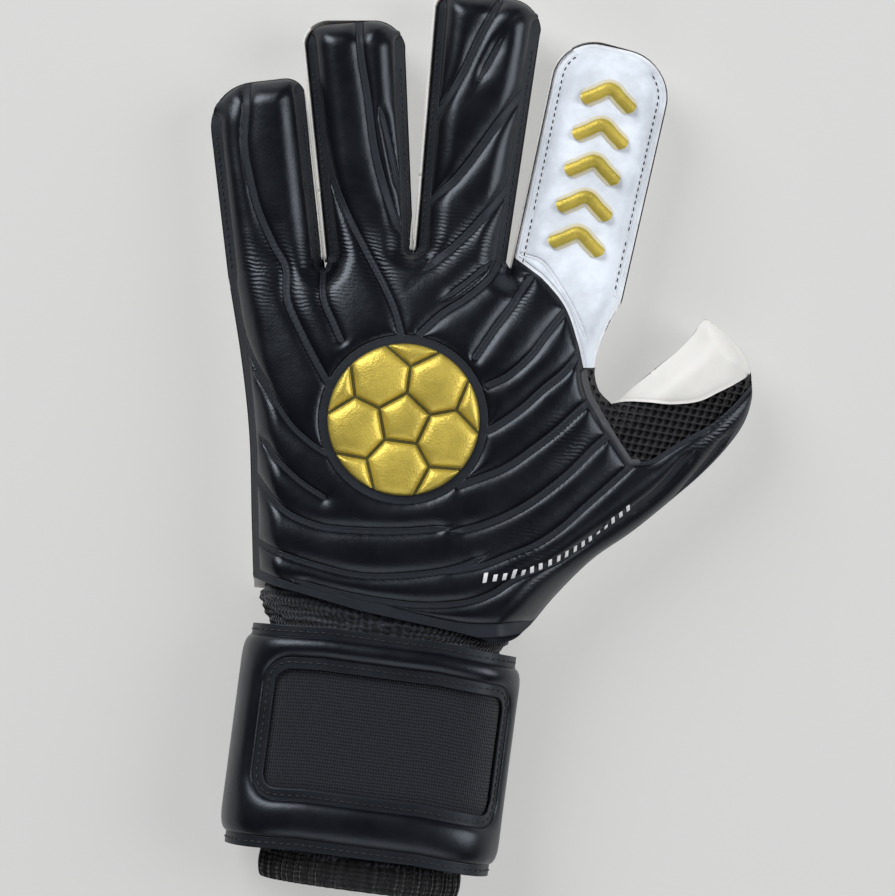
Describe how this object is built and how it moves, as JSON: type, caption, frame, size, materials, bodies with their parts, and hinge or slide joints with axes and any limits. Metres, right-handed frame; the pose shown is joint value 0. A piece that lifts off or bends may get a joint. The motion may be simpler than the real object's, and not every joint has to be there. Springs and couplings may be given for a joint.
{
  "type": "goalkeeper glove",
  "caption": "Left-hand padded goalkeeper glove with latex foam palm, embossed back, digits that bend at two lines each, and a knitted cuff under a closing strap.",
  "frame": {"origin": "on the palm's flat outer face, under the middle of the hand and in line with the middle of the strap", "axes": "+X to the thumb side, +Y to the fingertips, +Z from the palm to the back of the hand"},
  "size_m": [0.1818, 0.2826, 0.038],
  "materials": {
    "black_foam": "smooth embossed foam, soft sheen",
    "white_latex": "matte latex foam",
    "white_panel": "pearly embossed foam",
    "gold_relief": "metallic gold, speckled",
    "white_print": "matte print",
    "black_mesh": "open spacer mesh",
    "black_knit": "elastic knit",
    "charcoal_weave": "fine elastic weave",
    "black_rubber": "smooth padded, soft sheen",
    "lining_cloth": "brushed cotton",
    "hook_and_loop": "hook and loop pile"
  },
  "bodies": {
    "hand": {"palm_latex": "white_latex", "backhand": "black_foam", "index_base_panel": "white_panel", "thumb_web_mesh": "black_mesh", "hand_lining": "lining_cloth", "emblem": "gold_relief", "side_print": "white_print"},
    "pinky_proximal": {"pinky_proximal_palm": "white_latex", "pinky_proximal_back": "black_foam", "pinky_proximal_lining": "lining_cloth"},
    "pinky_distal": {"pinky_distal_palm": "white_latex", "pinky_distal_back": "black_foam", "pinky_distal_lining": "lining_cloth"},
    "ring_proximal": {"ring_proximal_palm": "white_latex", "ring_proximal_back": "black_foam", "ring_proximal_lining": "lining_cloth"},
    "ring_distal": {"ring_distal_palm": "white_latex", "ring_distal_back": "black_foam", "ring_distal_lining": "lining_cloth"},
    "middle_proximal": {"middle_proximal_palm": "white_latex", "middle_proximal_back": "black_foam", "middle_proximal_lining": "lining_cloth"},
    "middle_distal": {"middle_distal_palm": "white_latex", "middle_distal_back": "black_foam", "middle_distal_lining": "lining_cloth"},
    "index_proximal": {"index_proximal_palm": "white_latex", "index_proximal_back": "white_panel", "index_proximal_lining": "lining_cloth", "index_proximal_relief": "gold_relief"},
    "index_distal": {"index_distal_palm": "white_latex", "index_distal_back": "white_panel", "index_distal_lining": "lining_cloth", "index_distal_relief": "gold_relief"},
    "thumb_proximal": {"thumb_proximal_latex": "white_latex", "thumb_proximal_back": "black_foam", "thumb_proximal_mesh": "black_mesh", "thumb_proximal_lining": "lining_cloth"},
    "thumb_distal": {"thumb_distal_latex": "white_latex", "thumb_distal_back": "black_foam", "thumb_distal_mesh": "black_mesh", "thumb_distal_lining": "lining_cloth"},
    "cuff": {"bandage_sleeve": "black_knit", "bandage_hem": "black_knit", "strap_frame": "black_rubber", "strap_window": "charcoal_weave", "strap_band": "charcoal_weave", "loop_patch": "hook_and_loop"},
    "tab": {"strap_tab": "black_rubber", "hook_patch": "hook_and_loop"}
  },
  "joints": [
    {"name": "pinky_knuckle_joint", "type": "hinge", "parent": "hand", "child": "pinky_proximal", "pos_m": [-0.0485, 0.047, 0], "axis": [-0.9703, -0.2419, 0], "range_deg": [0, 60], "stiffness_Nm_per_rad": 0.02},
    {"name": "pinky_middle_joint", "type": "hinge", "parent": "pinky_proximal", "child": "pinky_distal", "pos_m": [-0.05552, 0.07514, 0], "axis": [-0.9703, -0.2419, 0], "range_deg": [0, 60], "stiffness_Nm_per_rad": 0.02},
    {"name": "ring_knuckle_joint", "type": "hinge", "parent": "hand", "child": "ring_proximal", "pos_m": [-0.02, 0.057, 0], "axis": [-0.9796, -0.2011, 0], "range_deg": [0, 60], "stiffness_Nm_per_rad": 0.02},
    {"name": "ring_middle_joint", "type": "hinge", "parent": "ring_proximal", "child": "ring_distal", "pos_m": [-0.02724, 0.09226, 0], "axis": [-0.9796, -0.2011, 0], "range_deg": [0, 60], "stiffness_Nm_per_rad": 0.02},
    {"name": "middle_knuckle_joint", "type": "hinge", "parent": "hand", "child": "middle_proximal", "pos_m": [0.0085, 0.061, 0], "axis": [-0.9999, -0.0157, 0], "range_deg": [0, 60], "stiffness_Nm_per_rad": 0.02},
    {"name": "middle_middle_joint", "type": "hinge", "parent": "middle_proximal", "child": "middle_distal", "pos_m": [0.00787, 0.101, 0], "axis": [-0.9999, -0.0157, 0], "range_deg": [0, 60], "stiffness_Nm_per_rad": 0.02},
    {"name": "index_knuckle_joint", "type": "hinge", "parent": "hand", "child": "index_proximal", "pos_m": [0.0425, 0.054, 0], "axis": [-0.9962, 0.0872, 0], "range_deg": [0, 60], "stiffness_Nm_per_rad": 0.02},
    {"name": "index_middle_joint", "type": "hinge", "parent": "index_proximal", "child": "index_distal", "pos_m": [0.04581, 0.09186, 0], "axis": [-0.9962, 0.0872, 0], "range_deg": [0, 60], "stiffness_Nm_per_rad": 0.02},
    {"name": "thumb_base_joint", "type": "hinge", "parent": "hand", "child": "thumb_proximal", "pos_m": [0.0615, 0.0195, 0], "axis": [0, 0, 1], "range_deg": [0, 20], "stiffness_Nm_per_rad": 0.02},
    {"name": "thumb_tip_joint", "type": "hinge", "parent": "thumb_proximal", "child": "thumb_distal", "pos_m": [0.07497, 0.03299, 0], "axis": [0, 0, 1], "range_deg": [0, 35], "stiffness_Nm_per_rad": 0.02},
    {"name": "wrist_joint", "type": "hinge", "parent": "hand", "child": "cuff", "pos_m": [0, -0.053, 0.018], "axis": [1, 0, 0], "range_deg": [-20, 20], "stiffness_Nm_per_rad": 0.08},
    {"name": "strap_tab_joint", "type": "hinge", "parent": "cuff", "child": "tab", "pos_m": [-0.042, -0.0963, 0.00095], "axis": [0, 1, 0], "range_deg": [0, 150]}
  ]
}
